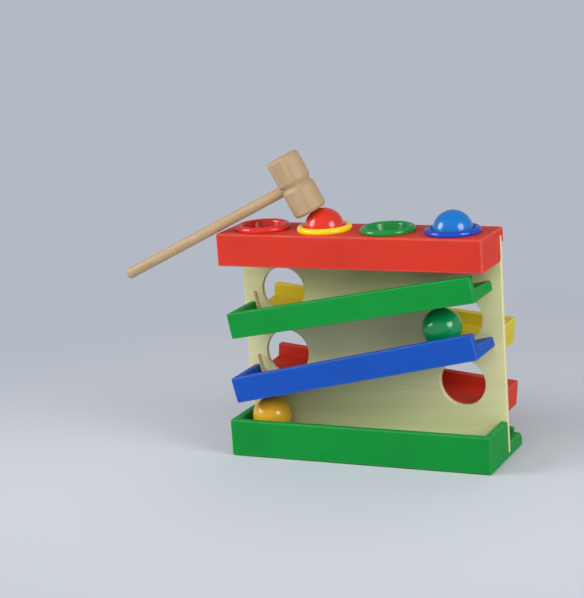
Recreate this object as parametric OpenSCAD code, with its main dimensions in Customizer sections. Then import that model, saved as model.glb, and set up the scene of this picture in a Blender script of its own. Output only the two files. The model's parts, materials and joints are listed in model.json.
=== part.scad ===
// Ball pounding toy: balls are knocked through rings in a beam and roll down four ramps into a tray.
// Millimetres. +X runs to the right along the toy, -Y is its front, +Z is up.
// The origin is on the ground, at the middle of the tray's base.

/* [Overall] */
// Length of the beam, board and tray
toy_length = 295; // [250:1:360]
// Height of the beam's top face above the ground
toy_height = 245; // [240:1:300]
// Diameter of the wooden balls
ball_d = 42; // [34:0.5:43]

/* [Panels] */
// Thickness of the centre board
board_t = 6; // [5:0.5:12]
// Thickness of the beam's, ramps' and tray's upright walls
wall_t = 8; // [5:0.5:12]
// Thickness of the plate with the ring holes
plate_t = 8; // [7:0.5:12]
// Height of the beam's front apron, plate included
apron_h = 35; // [28:0.5:45]
// Thickness of the lip behind the board
lip_t = 6; // [4:0.5:10]
// Height of the lip, plate included
lip_h = 16; // [12:0.5:25]

/* [Ball path] */
// Room for a ball between the front walls and the board, beyond its own size
front_room = 7; // [4:0.5:14]
// Room for a ball between the board and the rear walls, beyond its own size
rear_room = 3; // [2:0.5:12]
// Room round a ball in the board's holes
hole_room = 8; // [4:0.5:12]
// Distance from the board's ends to the middle of its holes
hole_inset = 47.5; // [36:0.5:60]
// Height of the lowest hole's sill above the ground
lowest_sill = 55; // [48:0.5:70]
// Drop of a ball as it passes from one ramp through the board to the next
hop = 1.5; // [0.5:0.1:4]
// Room above a ball that has dropped from the ring furthest uphill
drop_room = 11; // [6:0.5:20]
// Share of the whole drop that the green ramp takes
green_share = 0.29; // [0.15:0.005:0.45]
// Share of the whole drop that the blue ramp takes
blue_share = 0.36; // [0.15:0.005:0.45]
// Share of the whole drop that the yellow ramp takes; the red ramp takes the rest
yellow_share = 0.175; // [0.1:0.005:0.3]

/* [Ramps] */
// Height of a ramp's side wall
ramp_wall_h = 27.5; // [22:0.5:36]
// Least gap between the green ramp's wall and the beam's apron above it
apron_gap = 2; // [1:0.25:5]
// Thickness of a ramp's floor plank where it meets the board
plank_t = 10.5; // [9:0.5:14]
// How much thicker the plank is at its wall, so that balls lean on the board
plank_lean = 3.5; // [1:0.25:7]
// Length of a ramp below the middle of its hole
ramp_tail = 40; // [32:0.5:48]
// Gap between a ramp's high end and the end of the board
ramp_gap = 10; // [6:0.5:20]
// Diameter of the stop pins
pin_d = 4; // [3:0.25:8]
// Height of the stop pins above the plank
pin_h = 29; // [20:0.5:40]
// Depth of a pin in its plank
pin_depth = 7; // [4:0.5:9]
// Distance from a pin's axis to the ramp's end wall
pin_from_end = 5.5; // [3:0.5:10]
// Distance from a pin's axis to the board
pin_from_board = 6.5; // [4:0.5:12]

/* [Tray] */
// Height of the tray's front wall and of its ends in front of the board
tray_h = 40; // [30:0.5:50]
// Thickness of the tray's floor plank
tray_floor_t = 16; // [12:0.5:20]
// Reach of the tray behind the board
tray_rear = 41; // [25:0.5:60]
// Height of the rear wall
tray_back_h = 20; // [16:0.5:35]
// Height of the ends' strip below the board
slot_floor = 6; // [4:0.5:12]
// Rounding of the ends' rear corners
end_corner_r = 10; // [3:0.5:14]

/* [Rings] */
// Distance between neighbouring rings
ring_pitch = 71; // [62:0.5:80]
// Outer diameter of a ring's flange
ring_od = 58; // [52:0.5:64]
// Height of the flange's thickest circle above the plate
ring_crown_z = 2.2; // [1:0.1:3]
// Height of a seated ball's centre above the plate
ball_seat_z = 2.5; // [0:0.1:6]
// Slope of the ring's funnel from the upright, in degrees
funnel_angle = 12; // [8:0.5:20]
// Depth of the ring's neck below the plate's top
neck_depth = 6; // [4:0.5:8]
// Wall of the ring's barrel at its neck
barrel_wall = 3; // [2:0.1:4]
// Height of the bead that snaps below the plate
bead_h = 3; // [2:0.1:5]
// Reach of the bead beyond the barrel
bead_reach = 1.1; // [0.5:0.1:1.5]

/* [Balls at rest] */
// Distance of the green ball from the middle of the hole that it has come through
green_ball_off_hole = 11.5; // [0:0.5:60]
// Gap between the yellow ball and the tray's left end
yellow_ball_gap = 5.5; // [1:0.5:60]
// Distance of the yellow ball behind the rings' middle line
yellow_ball_back = 1.5; // [-2:0.25:3]

/* [Mallet] */
// Diameter of the head
head_d = 36; // [28:0.5:48]
// Length of the head
head_len = 65; // [50:0.5:80]
// Bevel of the head's ends
head_bevel = 2.5; // [1:0.25:5]
// Depth of the groove round the head
groove_depth = 3; // [1:0.25:5]
// Width of the groove
groove_w = 9.5; // [4:0.25:14]
// Diameter of the handle
handle_d = 11.5; // [9:0.25:15]
// Length of the handle outside the head
handle_len = 195; // [150:1:240]
// Depth of the handle in the head
handle_depth = 24; // [14:0.5:28]
// Turn of the mallet that brings its grip to the front, in degrees
mallet_yaw = 12; // [0:0.5:13]
// Distance of the red ball from the middle of the face that lies on it, away from the grip
ball_off_face = 4; // [0:0.5:10]

/* [Fits] */
// Gap between a loose piece and what it rests on
rest_gap = 0.3; // [0.2:0.05:0.6]
// Gap round the barrel of a ring
ring_gap = 0.3; // [0.2:0.05:0.6]
// Glue gap round pins, dowels and the handle
glue_gap = 0.1; // [0.05:0.05:0.3]
// Gap between the board and the slots in the tray's ends
slot_gap = 0.2; // [0.1:0.05:0.5]
// Diameter of the dowels
dowel_d = 4; // [3:0.5:6]
// Depth of a dowel in the face of the board or of a tray wall
dowel_in_board = 4; // [3:0.5:7]
// Depth of a dowel in the edge of a plank or wall
dowel_in_plank = 9; // [6:0.5:12]
// Depth of a dowel in the underside of the beam's plate
dowel_in_plate = 4; // [3:0.5:5]
// Places of a ramp's dowels, as shares of the distance between the holes
dowel_shares = [0.225, 0.6, 0.9]; // [0.15:0.005:0.95]

/* [Hidden] */
$fn = 96;

red_paint = [0.83, 0.23, 0.18];
green_paint = [0.0, 0.59, 0.24];
blue_paint = [0.08, 0.33, 0.7];
yellow_paint = [0.93, 0.8, 0.15];
pale_wood = [0.88, 0.82, 0.67];
beech = [0.84, 0.72, 0.56];

// Overrun of cutting shapes past the faces that they open
cut = 1;

// Depths from front to back
ball_r = ball_d / 2;
front_channel = ball_d + front_room;
rear_channel = ball_d + rear_room;
tray_depth = wall_t + front_channel + board_t + tray_rear;
front_y = -tray_depth / 2;
channel_y = front_y + wall_t;
board_y = channel_y + front_channel;
board_back_y = board_y + board_t;
beam_depth = wall_t + front_channel + board_t + lip_t;
ring_y = channel_y + front_channel / 2;

// Lengths from side to side
end_x = toy_length / 2;
inner_x = end_x - wall_t;
hole_x = end_x - hole_inset;
hole_d = ball_d + hole_room;
ring_xs = [-1.5 * ring_pitch, -0.5 * ring_pitch, 0.5 * ring_pitch, 1.5 * ring_pitch];

// Heights of the ramps' floors at the board, at the holes they lead to.
// sill_drop is how far a hole's sill lies below the floor that leads to it.
plate_z = toy_height - plate_t;
apron_z = toy_height - apron_h;
hole_span = 2 * hole_x;
total_drop = plate_z - ball_d - drop_room - lowest_sill - 3 * hop;
green_rise = total_drop * green_share;
blue_rise = total_drop * blue_share;
yellow_rise = total_drop * yellow_share;
red_rise = total_drop - green_rise - blue_rise - yellow_rise;
red_z = lowest_sill;
blue_z = red_z + red_rise + hop;
yellow_z = blue_z + blue_rise + hop;
green_z = yellow_z + yellow_rise + hop;
sill_drop = hop / 3;
ramp_reach = 2 * end_x - hole_inset - ramp_gap;
lean_angle = atan(plank_lean / front_channel);

function ramp_slope(rise) = atan(rise / hole_span);

// Lengthwise distances on a ramp are measured uphill from the middle of its hole, along its slope.
function ramp_top(rise) = ramp_reach / cos(ramp_slope(rise)) - plank_t * tan(ramp_slope(rise));
dowel_places = hole_span * dowel_shares;

// Rings, with heights counted from the plate's top
seat_r = (ball_r + rest_gap) * cos(funnel_angle);
seat_z = ball_seat_z - (ball_r + rest_gap) * sin(funnel_angle);
function funnel_r(z) = seat_r + (z - seat_z) * tan(funnel_angle);
neck_r = funnel_r(-neck_depth);
barrel_r = neck_r + barrel_wall;
crown_r = (ring_od / 2 - funnel_r(ring_crown_z)) / 2;
crown_mid_r = ring_od / 2 - crown_r;
barrel_bottom = -plate_t - ring_gap - bead_h;

// Balls at rest
seated_ball_z = toy_height + ball_seat_z;
rolling_ball_x = hole_x - green_ball_off_hole;
rolling_ball_y = board_y - ball_r - rest_gap;
tray_ball_x = -inner_x + ball_r + yellow_ball_gap;
tray_ball_y = ring_y + yellow_ball_back;
tray_ball_z = tray_floor_t + ball_r + rest_gap;

// Mallet at rest, its handle on the beam's left edge and its head on the red ball.
// run and lift are the ball's place as seen from that edge, in the upright plane of the handle.
// strike is how far the head's middle keeps from the ball's, handle_seat the handle's axis from the edge.
// edge_skew is the extra room that the handle needs because it crosses the edge aslant.
run = (ring_xs[1] + end_x) / cos(mallet_yaw);
lift = ball_seat_z;
strike = ball_r + head_len / 2 + rest_gap;
handle_seat = handle_d / 2 + rest_gap;
mallet_tilt = asin((strike - handle_seat) / sqrt(run * run + lift * lift)) + atan(lift / run);
edge_skew = sqrt(pow(sin(mallet_tilt), 2) + pow(cos(mallet_tilt) * cos(mallet_yaw), 2)) / cos(mallet_yaw);

// A box from one corner to the opposite one.
module block(low, high) {
    translate(low)
        cube(high - low);
}

// Centre board

module ball_hole(x, floor_z) {
    translate([x, board_y - cut, floor_z - sill_drop + hole_d / 2])
        rotate([-90, 0, 0])
            cylinder(h = board_t + 2 * cut, d = hole_d);
}

module centre_board() {
    color(pale_wood)
        difference() {
            union() {
                block([-end_x, board_y, tray_floor_t], [end_x, board_back_y, plate_z]);
                for (low_x = [-end_x, inner_x + slot_gap])
                    block(
                        [low_x, board_y, slot_floor],
                        [low_x + wall_t - slot_gap, board_back_y, tray_floor_t + cut]
                    );
            }
            ball_hole(-hole_x, green_z);
            ball_hole(hole_x, yellow_z);
            ball_hole(-hole_x, blue_z);
            ball_hole(hole_x, red_z);
            ramp_dowel_set(glue_gap);
            beam_dowel_set(glue_gap);
        }
}

// Red beam

module beam_plate() {
    color(red_paint)
        difference() {
            block([-end_x, front_y, plate_z], [end_x, front_y + beam_depth, toy_height]);
            for (x = ring_xs)
                translate([x, ring_y, plate_z - cut])
                    cylinder(h = plate_t + 2 * cut, r = barrel_r + ring_gap);
            beam_dowel_set(glue_gap);
        }
}

module beam_front() {
    color(red_paint)
        difference() {
            block([-end_x, front_y, apron_z], [end_x, channel_y, plate_z]);
            beam_dowel_set(glue_gap);
        }
}

module beam_end(low_x) {
    color(red_paint)
        difference() {
            block([low_x, channel_y, apron_z], [low_x + wall_t, board_y, plate_z]);
            beam_dowel_set(glue_gap);
        }
}

module beam_left_end() {
    beam_end(-end_x);
}

module beam_right_end() {
    beam_end(inner_x);
}

module beam_rear_lip() {
    color(red_paint)
        block([-end_x, board_back_y, toy_height - lip_h], [end_x, board_back_y + lip_t, plate_z]);
}

// Dowels that stand up into the plate from the board, the apron and the ends.
module beam_dowel_set(gap) {
    dowel_xs = [-ring_pitch, 0, ring_pitch];
    for (x = dowel_xs)
        for (y = [front_y + wall_t / 2, board_y + board_t / 2])
            beam_dowel([x, y], gap);
    for (side = [-1, 1])
        beam_dowel([side * (end_x - wall_t / 2), ring_y], gap);
}

module beam_dowel(place, gap) {
    translate([place[0], place[1], plate_z - dowel_in_plank - gap])
        cylinder(h = dowel_in_plank + dowel_in_plate + 2 * gap, d = dowel_d + 2 * gap);
}

module beam_dowels() {
    color(beech)
        beam_dowel_set(0);
}

// Rings: a round flange on the plate, a funnel that seats a ball, a neck narrower than the ball, a snap bead.

module ring(x, paint) {
    color(paint)
        translate([x, ring_y, toy_height])
            difference() {
                union() {
                    intersection() {
                        rotate_extrude()
                            translate([crown_mid_r, ring_crown_z])
                                circle(r = crown_r);
                        cylinder(h = ring_crown_z + crown_r + cut, r = ring_od);
                    }
                    translate([0, 0, barrel_bottom])
                        cylinder(h = ring_crown_z - barrel_bottom, r = barrel_r);
                    translate([0, 0, barrel_bottom])
                        cylinder(h = bead_h, r1 = barrel_r, r2 = barrel_r + bead_reach);
                }
                translate([0, 0, -neck_depth])
                    cylinder(
                        h = neck_depth + ring_crown_z + cut,
                        r1 = neck_r,
                        r2 = funnel_r(ring_crown_z + cut)
                    );
                translate([0, 0, barrel_bottom - cut])
                    cylinder(
                        h = -neck_depth - barrel_bottom + cut,
                        r1 = neck_r + barrel_wall / 2,
                        r2 = neck_r
                    );
            }
}

module red_ring() {
    ring(ring_xs[0], red_paint);
}

module yellow_ring() {
    ring(ring_xs[1], yellow_paint);
}

module green_ring() {
    ring(ring_xs[2], green_paint);
}

module blue_ring() {
    ring(ring_xs[3], blue_paint);
}

// Ramps. Each is drawn with its hole's middle at the origin, uphill along +X and the board at y = 0.

module at_front(z, rise) {
    translate([-hole_x, board_y, z])
        rotate([0, -ramp_slope(rise), 0])
            children();
}

module at_back(z, rise) {
    translate([hole_x, board_back_y, z])
        rotate([0, 0, 180])
            rotate([0, -ramp_slope(rise), 0])
                children();
}

module ramp_floor(rise, channel, with_pin) {
    low = -ramp_tail + wall_t;
    difference() {
        translate([low, 0, 0])
            rotate([90, 0, 90])
                linear_extrude(height = ramp_top(rise) - low)
                    polygon([[0, 0], [-channel, plank_lean], [-channel, -plank_t], [0, -plank_t]]);
        ramp_dowel_row(glue_gap);
        if (with_pin)
            ramp_pin(glue_gap);
    }
}

module ramp_wall(rise, channel) {
    block([-ramp_tail, -channel - wall_t, -plank_t], [ramp_top(rise), -channel, ramp_wall_h - plank_t]);
}

module ramp_end(channel) {
    block([-ramp_tail, -channel, -plank_t], [-ramp_tail + wall_t, 0, ramp_wall_h - plank_t]);
}

module ramp_pin(gap) {
    translate([-ramp_tail + wall_t + pin_from_end, -pin_from_board, -pin_depth - gap])
        cylinder(h = pin_h + pin_depth + gap, d = pin_d + 2 * gap);
}

module ramp_dowel_row(gap) {
    for (place = dowel_places)
        translate([place, -dowel_in_plank - gap, -plank_t / 2])
            rotate([-90, 0, 0])
                cylinder(h = dowel_in_plank + dowel_in_board + 2 * gap, d = dowel_d + 2 * gap);
}

module ramp_dowel_set(gap) {
    at_front(green_z, green_rise)
        ramp_dowel_row(gap);
    at_front(blue_z, blue_rise)
        ramp_dowel_row(gap);
    at_back(yellow_z, yellow_rise)
        ramp_dowel_row(gap);
    at_back(red_z, red_rise)
        ramp_dowel_row(gap);
}

module ramp_dowels() {
    color(beech)
        ramp_dowel_set(0);
}

module green_ramp_floor() {
    color(green_paint)
        at_front(green_z, green_rise)
            ramp_floor(green_rise, front_channel, true);
}

// The wall's high corner is trimmed where it would come too near to the beam's apron.
module green_ramp_wall() {
    color(green_paint)
        difference() {
            at_front(green_z, green_rise)
                ramp_wall(green_rise, front_channel);
            block([-end_x, front_y - cut, apron_z - apron_gap], [end_x, channel_y + cut, toy_height]);
        }
}

module green_ramp_end() {
    color(green_paint)
        at_front(green_z, green_rise)
            ramp_end(front_channel);
}

module green_ramp_pin() {
    color(beech)
        at_front(green_z, green_rise)
            ramp_pin(0);
}

module blue_ramp_floor() {
    color(blue_paint)
        at_front(blue_z, blue_rise)
            ramp_floor(blue_rise, front_channel, true);
}

module blue_ramp_wall() {
    color(blue_paint)
        at_front(blue_z, blue_rise)
            ramp_wall(blue_rise, front_channel);
}

module blue_ramp_end() {
    color(blue_paint)
        at_front(blue_z, blue_rise)
            ramp_end(front_channel);
}

module blue_ramp_pin() {
    color(beech)
        at_front(blue_z, blue_rise)
            ramp_pin(0);
}

module yellow_ramp_floor() {
    color(yellow_paint)
        at_back(yellow_z, yellow_rise)
            ramp_floor(yellow_rise, rear_channel, false);
}

module yellow_ramp_wall() {
    color(yellow_paint)
        at_back(yellow_z, yellow_rise)
            ramp_wall(yellow_rise, rear_channel);
}

module yellow_ramp_end() {
    color(yellow_paint)
        at_back(yellow_z, yellow_rise)
            ramp_end(rear_channel);
}

module red_ramp_floor() {
    color(red_paint)
        at_back(red_z, red_rise)
            ramp_floor(red_rise, rear_channel, false);
}

module red_ramp_wall() {
    color(red_paint)
        at_back(red_z, red_rise)
            ramp_wall(red_rise, rear_channel);
}

module red_ramp_end() {
    color(red_paint)
        at_back(red_z, red_rise)
            ramp_end(rear_channel);
}

// Tray

module tray_floor() {
    color(green_paint)
        difference() {
            block([-inner_x, channel_y, 0], [inner_x, -front_y - wall_t, tray_floor_t]);
            tray_dowel_set(glue_gap);
        }
}

module tray_front() {
    color(green_paint)
        difference() {
            block([-end_x, front_y, 0], [end_x, channel_y, tray_h]);
            tray_dowel_set(glue_gap);
        }
}

module tray_back() {
    color(green_paint)
        difference() {
            block([-inner_x, -front_y - wall_t, 0], [inner_x, -front_y, tray_back_h]);
            tray_dowel_set(glue_gap);
        }
}

// An end is full height in front of the board, slotted for the board and low behind it.
module tray_end(low_x) {
    color(green_paint)
        difference() {
            block([low_x, channel_y, 0], [low_x + wall_t, -front_y, tray_h]);
            block(
                [low_x - cut, board_y - slot_gap, slot_floor],
                [low_x + wall_t + cut, board_back_y + slot_gap, tray_h + cut]
            );
            block(
                [low_x - cut, board_back_y, tray_floor_t],
                [low_x + wall_t + cut, -front_y + cut, tray_h + cut]
            );
            rear_corner(low_x);
            tray_dowel_set(glue_gap);
        }
}

// What the rounding takes off an end's rear corner.
module rear_corner(low_x) {
    mid_y = -front_y - end_corner_r;
    mid_z = tray_floor_t - end_corner_r;
    difference() {
        block([low_x - cut, mid_y, mid_z], [low_x + wall_t + cut, -front_y + cut, tray_floor_t + cut]);
        translate([low_x - 2 * cut, mid_y, mid_z])
            rotate([0, 90, 0])
                cylinder(h = wall_t + 4 * cut, r = end_corner_r);
    }
}

module tray_left_end() {
    tray_end(-end_x);
}

module tray_right_end() {
    tray_end(inner_x);
}

// Dowels that run from the tray's walls and ends into the edges of its floor.
module tray_dowel_set(gap) {
    length = dowel_in_plank + dowel_in_board + 2 * gap;
    for (x = [-hole_x, 0, hole_x])
        for (turn = [0, 180])
            rotate([0, 0, turn])
                translate([x, channel_y - dowel_in_board - gap, tray_floor_t / 2])
                    rotate([-90, 0, 0])
                        cylinder(h = length, d = dowel_d + 2 * gap);
    for (y = [ring_y, (board_back_y - front_y - wall_t) / 2])
        for (side = [-1, 1])
            translate([side * (inner_x + dowel_in_board + gap), y, tray_floor_t / 2])
                rotate([0, -side * 90, 0])
                    cylinder(h = length, d = dowel_d + 2 * gap);
}

module tray_dowels() {
    color(beech)
        tray_dowel_set(0);
}

// Balls

module ball(paint) {
    color(paint)
        sphere(d = ball_d);
}

module red_ball() {
    translate([ring_xs[1], ring_y, seated_ball_z])
        ball(red_paint);
}

module blue_ball() {
    translate([ring_xs[3], ring_y, seated_ball_z])
        ball(blue_paint);
}

// The green ball leans on the board and lies on the blue ramp's floor.
module green_ball() {
    slope = ramp_slope(blue_rise);
    out = rolling_ball_y - board_y;
    up = -out * tan(lean_angle) + (ball_r + rest_gap) / cos(lean_angle);
    along = (rolling_ball_x + hole_x) / cos(slope) + up * tan(slope);
    at_front(blue_z, blue_rise)
        translate([along, out, up])
            ball(green_paint);
}

module yellow_ball() {
    translate([tray_ball_x, tray_ball_y, tray_ball_z])
        ball(yellow_paint);
}

// Mallet. Its own frame has the middle of the head at the origin, the handle along -X and the face that
// strikes below.

module mallet_pose() {
    translate([ring_xs[1], ring_y, seated_ball_z])
        rotate([0, 0, mallet_yaw])
            rotate([0, -mallet_tilt, 0])
                translate([-ball_off_face, 0, strike + handle_seat * (edge_skew - 1)])
                    children();
}

module handle_bar(gap) {
    translate([-head_d / 2 - handle_len, 0, 0])
        rotate([0, 90, 0])
            cylinder(h = handle_len + handle_depth + gap, d = handle_d + 2 * gap);
}

module mallet_head() {
    half = head_len / 2;
    color(beech)
        mallet_pose()
            difference() {
                rotate_extrude()
                    polygon([
                        [0, -half],
                        [head_d / 2 - head_bevel, -half],
                        [head_d / 2, -half + head_bevel],
                        [head_d / 2, -groove_w / 2],
                        [head_d / 2 - groove_depth, 0],
                        [head_d / 2, groove_w / 2],
                        [head_d / 2, half - head_bevel],
                        [head_d / 2 - head_bevel, half],
                        [0, half]
                    ]);
                handle_bar(glue_gap);
            }
}

module mallet_handle() {
    color(beech)
        mallet_pose()
            handle_bar(0);
}

centre_board();
beam_plate();
beam_front();
beam_left_end();
beam_right_end();
beam_rear_lip();
red_ring();
yellow_ring();
green_ring();
blue_ring();
green_ramp_floor();
green_ramp_wall();
green_ramp_end();
green_ramp_pin();
blue_ramp_floor();
blue_ramp_wall();
blue_ramp_end();
blue_ramp_pin();
yellow_ramp_floor();
yellow_ramp_wall();
yellow_ramp_end();
red_ramp_floor();
red_ramp_wall();
red_ramp_end();
tray_floor();
tray_front();
tray_left_end();
tray_right_end();
tray_back();
ramp_dowels();
beam_dowels();
tray_dowels();
red_ball();
blue_ball();
green_ball();
yellow_ball();
mallet_head();
mallet_handle();
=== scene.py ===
import json
from math import cos, radians, sin

import bmesh
import bpy
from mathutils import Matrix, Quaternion, Vector
from mathutils.bvhtree import BVHTree


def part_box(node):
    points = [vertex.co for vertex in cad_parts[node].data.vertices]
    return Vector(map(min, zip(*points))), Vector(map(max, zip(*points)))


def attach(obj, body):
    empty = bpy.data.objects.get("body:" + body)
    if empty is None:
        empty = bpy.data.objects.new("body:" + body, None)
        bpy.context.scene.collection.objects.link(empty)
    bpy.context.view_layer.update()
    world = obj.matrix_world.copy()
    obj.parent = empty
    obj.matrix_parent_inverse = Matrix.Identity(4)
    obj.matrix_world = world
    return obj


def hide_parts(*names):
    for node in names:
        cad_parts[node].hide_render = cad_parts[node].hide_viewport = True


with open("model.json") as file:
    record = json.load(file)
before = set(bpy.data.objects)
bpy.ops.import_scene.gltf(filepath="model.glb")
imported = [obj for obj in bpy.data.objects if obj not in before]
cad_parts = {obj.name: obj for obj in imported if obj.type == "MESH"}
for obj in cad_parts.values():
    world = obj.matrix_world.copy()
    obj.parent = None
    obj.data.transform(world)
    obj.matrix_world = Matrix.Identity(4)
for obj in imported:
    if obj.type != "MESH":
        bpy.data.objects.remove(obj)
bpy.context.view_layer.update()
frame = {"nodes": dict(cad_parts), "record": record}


# Centre board
# One upright sheet of birch plywood, left bare. It is cut out with its four round ball holes on a
# router and its edges are sanded. It stands in slots of the tray's ends and carries the ramps and
# the beam on glued dowels.

board_edge_radius = 0.0009
# The veneer's yellow-green cast is partly birch and partly painted reflection of green light from the
# tray and ramps.
board_veneer_and_green_bounce = (231, 229, 176)
board_late_wood_and_green_bounce = (212, 204, 141)
board_core = (214, 192, 148)
board_glue = (168, 132, 88)
veneer_ring_gap = 0.017
ply_thickness = 0.0013
glue_line_share = 0.16
edge_fibre_grid = (300, 900, 300)
edge_facing = 0.5

merge_distance = 0.000001
glue_reach = 0.0002
glue_probes = (0.2, 0.5, 0.8)
flat_angle = radians(0.5)
sharp_angle = radians(20)
smooth_angle = radians(25)
edge_segments = 3
# Each piece is sawn from another place in the plank, so that no two show the same grain.
plank_step = Vector((0.37, 0.013, 0.021))
sawn = []

body_of = {}
for body_name, nodes in frame["record"]["behaviour"]["bodies"].items():
    body_of.update(dict.fromkeys(nodes, body_name))
surfaces = {}


def surface(node):
    """The search tree of a node's faces."""
    if node not in surfaces:
        mesh = frame["nodes"][node].data
        points = [vertex.co for vertex in mesh.vertices]
        faces = [polygon.vertices for polygon in mesh.polygons]
        surfaces[node] = BVHTree.FromPolygons(points, faces)
    return surfaces[node]


def neighbours(node):
    """The other nodes of the same body whose boxes touch this node's box."""
    low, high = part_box(node)
    near = []
    for other, body in body_of.items():
        if other == node or body != body_of[node]:
            continue
        other_low, other_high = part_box(other)
        apart = [max(other_low[i] - high[i], low[i] - other_high[i]) for i in range(3)]
        if max(apart) < glue_reach:
            near.append(other)
    return near


def is_glued(edge, near):
    """Whether most of an edge lies on a neighbouring piece, where the two are glued flush."""
    start, end = (vertex.co for vertex in edge.verts)
    hits = 0
    for share in glue_probes:
        point = start.lerp(end, share)
        hits += any(surface(other).find_nearest(point, glue_reach)[0] is not None for other in near)
    return hits > len(glue_probes) / 2


def chains(edges):
    """Sort edges into connected runs, so that a hole's rim is rounded apart from the outline.

    The runs follow the mesh's own order, so that the script always gives the same mesh.
    """
    left = dict.fromkeys(edges)
    runs = []
    while left:
        first = next(iter(left))
        del left[first]
        run = [first]
        for edge in run:
            for other in (other for vertex in edge.verts for other in vertex.link_edges):
                if other in left:
                    del left[other]
                    run.append(other)
        runs.append(run)
    return runs


def put_in_order(elements, place):
    """Sort a mesh's corners or faces by their place, because a bevel's own order changes."""
    for index, element in enumerate(sorted(elements, key=place)):
        element.index = index
    elements.sort()


def sanded(node, radius, *materials, turned=False):
    """A copy of a node's solid with its free edges rounded and its own timber coordinates.

    The timber runs along a plank's longest edge, and along the axis of a piece that is turned.
    """
    shape = bmesh.new()
    shape.from_mesh(frame["nodes"][node].data)
    rub = shape.faces.layers.float.new("rubbed")
    timber = shape.verts.layers.float_vector.new("timber")
    bmesh.ops.remove_doubles(shape, verts=shape.verts, dist=merge_distance)
    bmesh.ops.dissolve_limit(shape, angle_limit=flat_angle, verts=shape.verts, edges=shape.edges)
    sharp = [edge for edge in shape.edges if edge.calc_face_angle(0) > sharp_angle]
    if turned:
        along = max(shape.faces, key=lambda face: len(face.verts)).normal.copy()
    else:
        longest = max(sharp, key=lambda edge: edge.calc_length())
        along = (longest.verts[1].co - longest.verts[0].co).normalized()
    near = neighbours(node)
    for run in chains(edge for edge in sharp if edge.is_convex and not is_glued(edge, near)):
        rounded = bmesh.ops.bevel(
            shape,
            geom=run,
            offset=radius,
            offset_type="OFFSET",
            segments=edge_segments,
            profile=0.5,
            affect="EDGES",
            clamp_overlap=True,
            material=-1,
        )
        for face in rounded["faces"]:
            face[rub] = 1.0
    low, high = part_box(node)
    middle = (low + high) / 2
    turn = along.rotation_difference(Vector((1, 0, 0)))
    sawn.append(node)
    place = plank_step * len(sawn)
    for vertex in shape.verts:
        vertex[timber] = turn @ (vertex.co - middle) + place
    put_in_order(shape.verts, lambda vertex: tuple(vertex.co))
    put_in_order(shape.faces, lambda face: tuple(face.calc_center_median()))
    mesh = bpy.data.meshes.new(f"{node}_sanded")
    shape.to_mesh(mesh)
    shape.free()
    # Normals stored with the solid do not fit its rounded copy.
    if "custom_normal" in mesh.attributes:
        mesh.attributes.remove(mesh.attributes["custom_normal"])
    mesh.shade_smooth()
    mesh.set_sharp_from_angle(angle=smooth_angle)
    mesh.materials.clear()
    for material in materials:
        mesh.materials.append(material)
    piece = bpy.data.objects.new(f"{node}_sanded", mesh)
    bpy.context.scene.collection.objects.link(piece)
    piece.modifiers.new("flat faces", "WEIGHTED_NORMAL").keep_sharp = True
    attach(piece, body_of[node])
    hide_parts(node)
    return piece


def srgb(red, green, blue):
    """A colour as it looks on a screen, 0 to 255, in the shader's linear values."""
    linear = []
    for part in (red / 255, green / 255, blue / 255):
        linear.append(part / 12.92 if part < 0.04 else ((part + 0.055) / 1.055) ** 2.4)
    return (*linear, 1.0)


def put(tree, kind, inputs, **settings):
    """Add a shader node; an input is a value or the socket that feeds it."""
    made = tree.nodes.new(f"ShaderNode{kind}")
    for name, value in settings.items():
        setattr(made, name, value)
    for name, value in inputs.items():
        if isinstance(value, bpy.types.NodeSocket):
            tree.links.new(value, made.inputs[name])
        else:
            made.inputs[name].default_value = value
    return made


def calc(tree, operation, *values):
    """The result of a Math node."""
    return put(tree, "Math", dict(enumerate(values)), operation=operation).outputs[0]


def add_up(tree, start, *parts):
    """A start value plus each part's value times its share."""
    total = start
    for value, share in parts:
        total = calc(tree, "MULTIPLY_ADD", value, share, total)
    return total


def ramp_up(tree, value, start, end, **settings):
    """A value that goes from 0 at the start to 1 at the end."""
    limits = {"Value": value, "From Min": start, "From Max": end}
    return put(tree, "MapRange", limits, **settings).outputs["Result"]


def stretch(tree, vector, factors):
    """A vector with its three parts multiplied."""
    return put(tree, "VectorMath", {0: vector, 1: factors}, operation="MULTIPLY").outputs[0]


def length(tree, vector):
    """The length of a vector."""
    return put(tree, "VectorMath", {0: vector}, operation="LENGTH").outputs["Value"]


def noise(tree, vector, scale, detail):
    """A noise value between 0 and 1."""
    inputs = {"Vector": vector, "Scale": scale, "Detail": detail}
    return put(tree, "TexNoise", inputs).outputs["Fac"]


def blend(tree, factor, first, second):
    """A colour between two colours, which are sockets 6 and 7 of a Mix node."""
    mix = put(tree, "Mix", {0: factor, 6: first, 7: second}, data_type="RGBA")
    return mix.outputs[2]


def shader_group(name, inputs, outputs):
    """An empty node group with its sockets, its start node and its end node."""
    group = bpy.data.node_groups.new(name, "ShaderNodeTree")
    for label, kind in inputs.items():
        group.interface.new_socket(label, in_out="INPUT", socket_type=kind)
    for label in outputs:
        group.interface.new_socket(label, in_out="OUTPUT", socket_type="NodeSocketFloat")
    start = group.nodes.new("NodeGroupInput")
    end = group.nodes.new("NodeGroupOutput")
    return group, start.outputs, end.inputs


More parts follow.
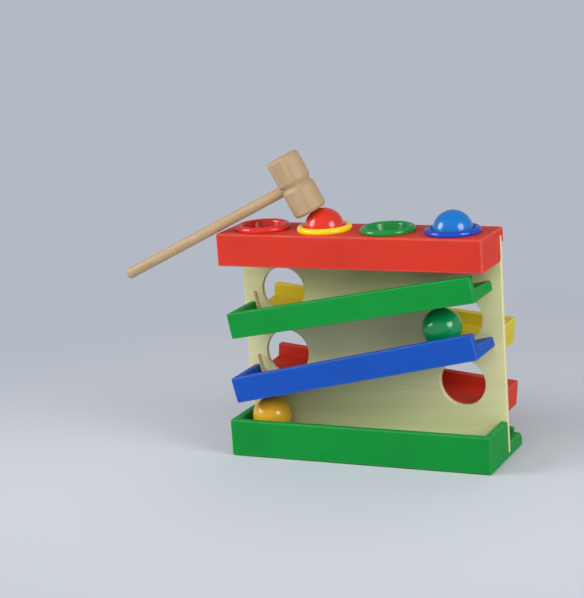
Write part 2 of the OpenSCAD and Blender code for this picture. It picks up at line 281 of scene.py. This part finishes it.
def make_timber_grain():
    """Growth rings round a wandering heart, fine fibres along the plank and short dark flecks."""
    heart_waves = (2.5, 11, 11)
    heart_wander = 0.03
    plank_tilt = (0, 0.05, 0.07)
    winter_start = 0.8
    ring_hardening = 2.2
    fibre_grid = (22, 620, 620)
    fleck_grid = (210, 1100, 1100)
    fleck_foot = 0.62
    fleck_top = 0.7
    group, given, result = shader_group(
        "timber_grain",
        {"Timber": "NodeSocketVector", "Ring gap": "NodeSocketFloat"},
        ["Rings", "Fibres", "Flecks"],
    )
    link = group.links.new
    timber = given["Timber"]
    wander = noise(group, stretch(group, timber, heart_waves), scale=1, detail=2)
    aslant = put(group, "Mapping", {"Vector": timber, "Rotation": plank_tilt}).outputs[0]
    radius = length(group, stretch(group, aslant, (0, 1, 1)))
    wavy = add_up(group, radius, (wander, heart_wander))
    year = calc(group, "FRACT", calc(group, "DIVIDE", wavy, given["Ring gap"]))
    growth = ramp_up(group, year, 1.0, winter_start, interpolation_type="SMOOTHSTEP")
    hardened = calc(group, "POWER", year, ring_hardening)
    link(calc(group, "MULTIPLY", hardened, growth), result["Rings"])
    link(noise(group, stretch(group, timber, fibre_grid), scale=1, detail=3), result["Fibres"])
    dash = noise(group, stretch(group, timber, fleck_grid), scale=1, detail=1)
    link(ramp_up(group, dash, fleck_foot, fleck_top), result["Flecks"])
    return group


timber_grain = make_timber_grain()


def new_material(name):
    """A node material with its tree and its shader."""
    material = bpy.data.materials.new(name)
    material.use_nodes = True
    return material, material.node_tree, material.node_tree.nodes["Principled BSDF"]


def use_group(tree, group, inputs):
    """A node group placed in a material."""
    return put(tree, "Group", inputs, node_tree=group).outputs


def object_place(tree):
    """A point's place in the toy."""
    return put(tree, "TexCoord", {}).outputs["Object"]


def attribute(tree, name, output):
    """A value that the piece's own mesh carries."""
    return put(tree, "Attribute", {}, attribute_name=name).outputs[output]


def raise_surface(tree, shader, height, depth):
    """Feed a height between 0 and 1 to the shader as a bump of that depth in metres."""
    bump = put(tree, "Bump", {"Height": height, "Distance": depth, "Strength": 1.0})
    tree.links.new(bump.outputs["Normal"], shader.inputs["Normal"])


def veneer_material():
    """The bare face of the plywood: broad rings, fine fibres and slow clouds of tone. Its
    yellow-green cast is partly birch and partly painted reflection of the green tray and ramps.
    """
    material, tree, shader = new_material("birch_veneer_and_green_bounce")
    timber = attribute(tree, "timber", "Vector")
    grain = use_group(tree, timber_grain, {"Timber": timber, "Ring gap": veneer_ring_gap})
    cloud = noise(tree, timber, scale=9, detail=2)
    shade = add_up(tree, 0, (grain["Fibres"], 0.35), (grain["Rings"], 0.3), (cloud, 0.3))
    wood = blend(tree, shade, srgb(*board_veneer_and_green_bounce), srgb(*board_late_wood_and_green_bounce))
    tree.links.new(wood, shader.inputs["Base Color"])
    tree.links.new(add_up(tree, 0.45, (grain["Fibres"], 0.15)), shader.inputs["Roughness"])
    raise_surface(tree, shader, grain["Fibres"], depth=0.00005)
    return material


def ply_edge_material():
    """The sawn edge of the plywood: plies of crossed grain with dark glue lines between them."""
    material, tree, shader = new_material("ply_edge")
    place = object_place(tree)
    depth = put(tree, "SeparateXYZ", {0: place}).outputs["Y"]
    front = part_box("centre_board")[0].y
    layer = calc(tree, "DIVIDE", calc(tree, "SUBTRACT", depth, front), ply_thickness)
    crossed = calc(tree, "MODULO", calc(tree, "FLOOR", layer), 2.0)
    to_joint = calc(tree, "PINGPONG", layer, 0.5)
    glue = calc(tree, "LESS_THAN", to_joint, glue_line_share)
    fibres = noise(tree, stretch(tree, place, edge_fibre_grid), scale=1, detail=3)
    tone = add_up(tree, 0, (fibres, 0.4), (crossed, 0.55))
    plies = blend(tree, tone, srgb(*board_veneer_and_green_bounce), srgb(*board_core))
    edge = blend(tree, add_up(tree, 0, (glue, 0.5)), plies, srgb(*board_glue))
    tree.links.new(edge, shader.inputs["Base Color"])
    tree.links.new(add_up(tree, 0.5, (fibres, 0.2)), shader.inputs["Roughness"])
    raise_surface(tree, shader, tone, depth=0.00008)
    return material


board = sanded("centre_board", board_edge_radius, veneer_material(), ply_edge_material())
for polygon in board.data.polygons:
    polygon.material_index = 1 if abs(polygon.normal.y) < edge_facing else 0


# Ramps
# Four troughs of solid wood, each a floor plank, a side wall and an end wall, glued together, sanded
# and dipped in coloured lacquer. They are glued and dowelled to the board. Each front ramp has a
# bare birch pin at its low end.

ramp_edge_radius = 0.0015
pin_edge_radius = 0.0008
green_paint = (0, 138, 50)
blue_paint = (14, 76, 174)
yellow_paint = (208, 186, 44)
red_paint = (202, 50, 32)
paint_ring_gap = 0.008
# The pins' birch is darker than pale birch. Part of that is painted shade, so that they stand dark
# against the board.
pin_early_wood_and_shade = (206, 188, 138)
pin_late_wood_and_shade = (172, 150, 102)
bare_ring_gap = 0.0045
fleck_brown = (150, 108, 70)


def make_lacquer_skin():
    """Slow drifts of tone, the orange peel of a dipped coat, and dull and bright patches."""
    group, given, result = shader_group(
        "lacquer_skin",
        {"Place": "NodeSocketVector"},
        ["Drift", "Peel", "Patches"],
    )
    link = group.links.new
    link(noise(group, given["Place"], scale=16, detail=2), result["Drift"])
    link(noise(group, given["Place"], scale=420, detail=1), result["Peel"])
    link(noise(group, given["Place"], scale=75, detail=3), result["Patches"])
    return group


lacquer_skin = make_lacquer_skin()


def tinted(tree, colour, **changes):
    """A colour with its saturation or its value changed."""
    inputs = {"Color": colour}
    inputs.update({name.capitalize(): change for name, change in changes.items()})
    return put(tree, "HueSaturation", inputs).outputs["Color"]


def paint_material(name, colour):
    """Satin lacquer on wood: the grain stands through faintly, and rubbed edges are thinly coated."""
    material, tree, shader = new_material(name)
    timber = attribute(tree, "timber", "Vector")
    grain = use_group(tree, timber_grain, {"Timber": timber, "Ring gap": paint_ring_gap})
    skin = use_group(tree, lacquer_skin, {"Place": timber})
    tone = add_up(tree, 0.9, (skin["Drift"], 0.16), (grain["Fibres"], 0.06), (grain["Rings"], -0.08))
    body = tinted(tree, srgb(*colour), value=tone)
    thin = tinted(tree, body, saturation=0.9, value=1.15)
    rubbed = calc(tree, "MULTIPLY", attribute(tree, "rubbed", "Fac"), skin["Patches"])
    tree.links.new(blend(tree, rubbed, body, thin), shader.inputs["Base Color"])
    tree.links.new(add_up(tree, 0.44, (skin["Patches"], 0.16)), shader.inputs["Roughness"])
    shader.inputs["Specular IOR Level"].default_value = 0.2
    relief = add_up(tree, 0, (grain["Fibres"], 0.6), (grain["Rings"], 0.5), (skin["Peel"], 0.5))
    raise_surface(tree, shader, relief, depth=0.00005)
    return material


def bare_wood(name, early, late):
    """Sanded wood with no finish: growth rings, pores and short dark flecks."""
    material, tree, shader = new_material(name)
    timber = attribute(tree, "timber", "Vector")
    grain = use_group(tree, timber_grain, {"Timber": timber, "Ring gap": bare_ring_gap})
    cloud = noise(tree, timber, scale=14, detail=2)
    shade = add_up(tree, 0, (grain["Fibres"], 0.25), (grain["Rings"], 0.5), (cloud, 0.25))
    wood = blend(tree, shade, srgb(*early), srgb(*late))
    flecked = blend(tree, add_up(tree, 0, (grain["Flecks"], 0.25)), wood, srgb(*fleck_brown))
    tree.links.new(flecked, shader.inputs["Base Color"])
    tree.links.new(add_up(tree, 0.48, (grain["Fibres"], 0.15)), shader.inputs["Roughness"])
    raise_surface(tree, shader, grain["Fibres"], depth=0.00002)
    return material


# The pins' wood colour is partly painted shade.
pin_birch_and_shade = bare_wood("pin_birch_and_shade", pin_early_wood_and_shade, pin_late_wood_and_shade)
green_lacquer = paint_material("green_lacquer", green_paint)
blue_lacquer = paint_material("blue_lacquer", blue_paint)
yellow_lacquer = paint_material("yellow_lacquer", yellow_paint)
red_lacquer = paint_material("red_lacquer", red_paint)

ramp_lacquers = {
    "green": green_lacquer,
    "blue": blue_lacquer,
    "yellow": yellow_lacquer,
    "red": red_lacquer,
}
for colour, lacquer in ramp_lacquers.items():
    for piece in ("floor", "wall", "end"):
        sanded(f"{colour}_ramp_{piece}", ramp_edge_radius, lacquer)
for colour in ("green", "blue"):
    sanded(f"{colour}_ramp_pin", pin_edge_radius, pin_birch_and_shade, turned=True)


# Tray
# A shallow box of solid wood in the green of the upper ramp, glued and dowelled round a thick floor.
# Its ends are slotted for the board and lower behind it.

tray_edge_radius = 0.002

for piece in ("floor", "front", "left_end", "right_end", "back"):
    sanded(f"tray_{piece}", tray_edge_radius, green_lacquer)


# Beam
# A red trough turned upside down over the board's top: a plate bored for the rings, a front apron,
# two ends and a lip behind the board. It is glued up, sanded as one and lacquered.

beam_edge_radius = 0.002

for piece in ("plate", "front", "left_end", "right_end", "rear_lip"):
    sanded(f"beam_{piece}", beam_edge_radius, red_lacquer)


# Rings
# Soft glossy plastic mouldings, one of each colour, pushed into the plate's holes from above. A bead
# under the plate holds each one, and its funnel grips a ball until it is struck.

ring_colours = {
    "red": (206, 44, 36),
    "yellow": (244, 206, 24),
    "green": (10, 134, 54),
    "blue": (22, 66, 176),
}


def ring_material(name, colour):
    """Soft plastic: an even colour with slow drifts and a smooth, slightly uneven gloss."""
    material, tree, shader = new_material(name)
    skin = use_group(tree, lacquer_skin, {"Place": object_place(tree)})
    body = tinted(tree, srgb(*colour), value=add_up(tree, 0.93, (skin["Drift"], 0.14)))
    tree.links.new(body, shader.inputs["Base Color"])
    tree.links.new(add_up(tree, 0.14, (skin["Patches"], 0.12)), shader.inputs["Roughness"])
    raise_surface(tree, shader, skin["Patches"], depth=0.000012)
    return material


for colour, shade in ring_colours.items():
    plastic = ring_material(f"{colour}_soft_plastic", shade)
    frame["nodes"][f"{colour}_ring"].data.materials[0] = plastic


# Balls
# Turned wooden balls under a thick gloss lacquer. Two sit in rings, one rolls down the blue ramp and
# one has reached the tray.

ball_colours = {
    "red": (212, 44, 22),
    "blue": (0, 108, 186),
    "green": (0, 134, 74),
    "yellow": (232, 174, 36),
}
ball_ring_gap = 0.006


def ball_material(name, colour):
    """Gloss lacquer in a clear coat, with faint growth rings and drifts of tone below it."""
    material, tree, shader = new_material(name)
    place = object_place(tree)
    grain = use_group(tree, timber_grain, {"Timber": place, "Ring gap": ball_ring_gap})
    skin = use_group(tree, lacquer_skin, {"Place": place})
    tone = add_up(tree, 0.94, (skin["Drift"], 0.16), (grain["Rings"], -0.06))
    tree.links.new(tinted(tree, srgb(*colour), value=tone), shader.inputs["Base Color"])
    tree.links.new(add_up(tree, 0.25, (skin["Patches"], 0.1)), shader.inputs["Roughness"])
    shader.inputs["Specular IOR Level"].default_value = 0.25
    shader.inputs["Coat Weight"].default_value = 0.7
    shader.inputs["Coat Roughness"].default_value = 0.1
    raise_surface(tree, shader, skin["Patches"], depth=0.00003)
    return material


for colour, shade in ball_colours.items():
    gloss = ball_material(f"{colour}_gloss_lacquer", shade)
    frame["nodes"][f"{colour}_ball"].data.materials[0] = gloss


# Mallet
# A turned beech head with a groove round its middle and bevelled striking faces, and a round beech
# handle glued into a blind hole in the groove. Both are left bare.

head_edge_radius = 0.0007
handle_edge_radius = 0.0015
beech_early_wood = (185, 158, 122)
beech_late_wood = (160, 131, 94)

bare_beech = bare_wood("bare_beech", beech_early_wood, beech_late_wood)

sanded("mallet_head", head_edge_radius, bare_beech, turned=True)
sanded("mallet_handle", handle_edge_radius, bare_beech, turned=True)


# Dowels
# Short beech pegs, glued into blind holes between the board, the ramps, the beam and the tray.
# None of them shows on the finished toy.

dowel_ring_gap = 0.003


def dowel_material():
    """Beech as it comes from the dowel mill, unsanded and dull."""
    material, tree, shader = new_material("beech_dowel")
    grain_inputs = {"Timber": object_place(tree), "Ring gap": dowel_ring_gap}
    grain = use_group(tree, timber_grain, grain_inputs)
    wood = blend(tree, grain["Fibres"], srgb(*beech_early_wood), srgb(*beech_late_wood))
    tree.links.new(wood, shader.inputs["Base Color"])
    tree.links.new(add_up(tree, 0.5, (grain["Fibres"], 0.2)), shader.inputs["Roughness"])
    raise_surface(tree, shader, grain["Fibres"], depth=0.00003)
    return material


rough_beech = dowel_material()
for group in ("ramp", "beam", "tray"):
    frame["nodes"][f"{group}_dowels"].data.materials[0] = rough_beech


# Studio
# A wide pale floor that fades into a pale backdrop, which goes on in the sky just above the horizon.
# A soft box stands on either side, a wide soft panel in front and a dimmer one behind, under a dim,
# even sky.

image_width = 584
image_height = 598
view_azimuth = 23
view_elevation = 15
view_roll = 4
view_distance = 1.93
view_reach = 100
pixels_per_metre = 940
toy_middle = Vector((0, 0, 0.1126))
toy_middle_pixel = (371, 348)
sensor_size = 36
floor_radius = 14
floor_segments = 96
floor_gap = 0.0004
floor_colour = (198, 203, 210)
floor_cloud = (190, 195, 202)
floor_roughness = 0.7
backdrop_colour = (180, 186, 197)
fade_start = 0.25
fade_end = 0.85
sky_colour = (250, 250, 255)
sky_strength = 0.3
horizon_foot = 4
horizon_top = 14


def towards(azimuth, elevation):
    """The direction from the toy to a place round it."""
    turn = radians(azimuth)
    rise = radians(elevation)
    return Vector((sin(turn) * cos(rise), -cos(turn) * cos(rise), sin(rise)))


def background_rays(tree):
    """1 for rays that see the background, straight or reflected, 0 for those that light the toy."""
    path = put(tree, "LightPath", {}).outputs
    seen = calc(tree, "ADD", path["Is Camera Ray"], path["Is Glossy Ray"])
    return calc(tree, "ADD", seen, path["Is Transmission Ray"])


def floor_material():
    """A pale floor that takes shadows near the toy; further off it is seen as an even backdrop."""
    material, tree, shader = new_material("pale_floor")
    place = object_place(tree)
    cloud = noise(tree, place, scale=3, detail=2)
    shade = add_up(tree, 0, (cloud, 0.25))
    base = blend(tree, shade, srgb(*floor_colour), srgb(*floor_cloud))
    tree.links.new(base, shader.inputs["Base Color"])
    shader.inputs["Roughness"].default_value = floor_roughness
    distance = length(tree, place)
    fade = ramp_up(tree, distance, fade_start, fade_end, interpolation_type="SMOOTHSTEP")
    backdrop = put(tree, "Emission", {"Color": srgb(*backdrop_colour), "Strength": 1.0})
    factor = calc(tree, "MULTIPLY", fade, background_rays(tree))
    mix = put(tree, "MixShader", {0: factor, 1: shader.outputs[0], 2: backdrop.outputs[0]})
    tree.links.new(mix.outputs[0], tree.nodes["Material Output"].inputs["Surface"])
    # The glow is only seen and lights nothing, so it is kept out of the search for lamps.
    material.cycles.emission_sampling = "NONE"
    return material


disc = bmesh.new()
bmesh.ops.create_circle(disc, cap_ends=True, segments=floor_segments, radius=floor_radius)
bmesh.ops.translate(disc, verts=disc.verts, vec=(0, 0, -floor_gap))
floor_mesh = bpy.data.meshes.new("floor")
disc.to_mesh(floor_mesh)
disc.free()
floor_mesh.materials.append(floor_material())
floor = bpy.data.objects.new("floor", floor_mesh)
bpy.context.scene.collection.objects.link(floor)


def soft_box(name, azimuth, elevation, distance, size, power):
    """A round soft lamp that faces the toy."""
    light = bpy.data.lights.new(name, "AREA")
    light.shape = "DISK"
    light.size = size
    light.energy = power
    lamp = bpy.data.objects.new(name, light)
    lamp.location = toy_middle + towards(azimuth, elevation) * distance
    lamp.rotation_euler = towards(azimuth, elevation).to_track_quat("Z", "Y").to_euler()
    bpy.context.scene.collection.objects.link(lamp)
    return lamp


soft_box("left_soft_box", azimuth=-60, elevation=28, distance=1.6, size=0.85, power=15)
soft_box("right_soft_box", azimuth=70, elevation=26, distance=1.6, size=0.85, power=15)
front_panel = soft_box("front_panel", azimuth=6, elevation=40, distance=2.2, size=2.4, power=19)
rear_panel = soft_box("rear_panel", azimuth=178, elevation=36, distance=2.2, size=2.0, power=5)
front_panel.visible_glossy = False
rear_panel.visible_glossy = False

sky = bpy.data.worlds.new("sky")
sky.use_nodes = True
sky_tree = sky.node_tree
sky_shader = sky_tree.nodes["Background"]
sky_shader.inputs["Color"].default_value = srgb(*sky_colour)
sky_shader.inputs["Strength"].default_value = sky_strength
horizon = put(sky_tree, "Background", {"Color": srgb(*backdrop_colour), "Strength": 1.0})
look = put(sky_tree, "TexCoord", {}).outputs["Generated"]
height = put(sky_tree, "SeparateXYZ", {0: look}).outputs["Z"]
clear_height = sin(radians(horizon_top))
full_height = sin(radians(horizon_foot))
lowness = ramp_up(sky_tree, height, clear_height, full_height, interpolation_type="SMOOTHSTEP")
backed = calc(sky_tree, "MULTIPLY", lowness, background_rays(sky_tree))
sky_mix = put(sky_tree, "MixShader", {0: backed, 1: sky_shader.outputs[0], 2: horizon.outputs[0]})
sky_tree.links.new(sky_mix.outputs[0], sky_tree.nodes["World Output"].inputs["Surface"])
bpy.context.scene.world = sky

camera_data = bpy.data.cameras.new("camera")
camera_data.sensor_width = sensor_size
camera_data.lens = pixels_per_metre * view_distance * sensor_size / image_height
camera_data.clip_end = view_reach
camera = bpy.data.objects.new("camera", camera_data)
back = towards(view_azimuth, view_elevation)
right = Quaternion(back, radians(-view_roll)) @ Vector((0, 0, 1)).cross(back).normalized()
up = back.cross(right)
left_of_toy = (toy_middle_pixel[0] - image_width / 2) / pixels_per_metre
above_toy = (toy_middle_pixel[1] - image_height / 2) / pixels_per_metre
aim = toy_middle - right * left_of_toy + up * above_toy
camera.location = toy_middle + back * view_distance
upright = (camera.location - aim).to_track_quat("Z", "Y")
camera.rotation_euler = (upright @ Quaternion((0, 0, 1), radians(-view_roll))).to_euler()
bpy.context.scene.collection.objects.link(camera)
bpy.context.scene.camera = camera
bpy.context.scene.view_settings.view_transform = "Standard"
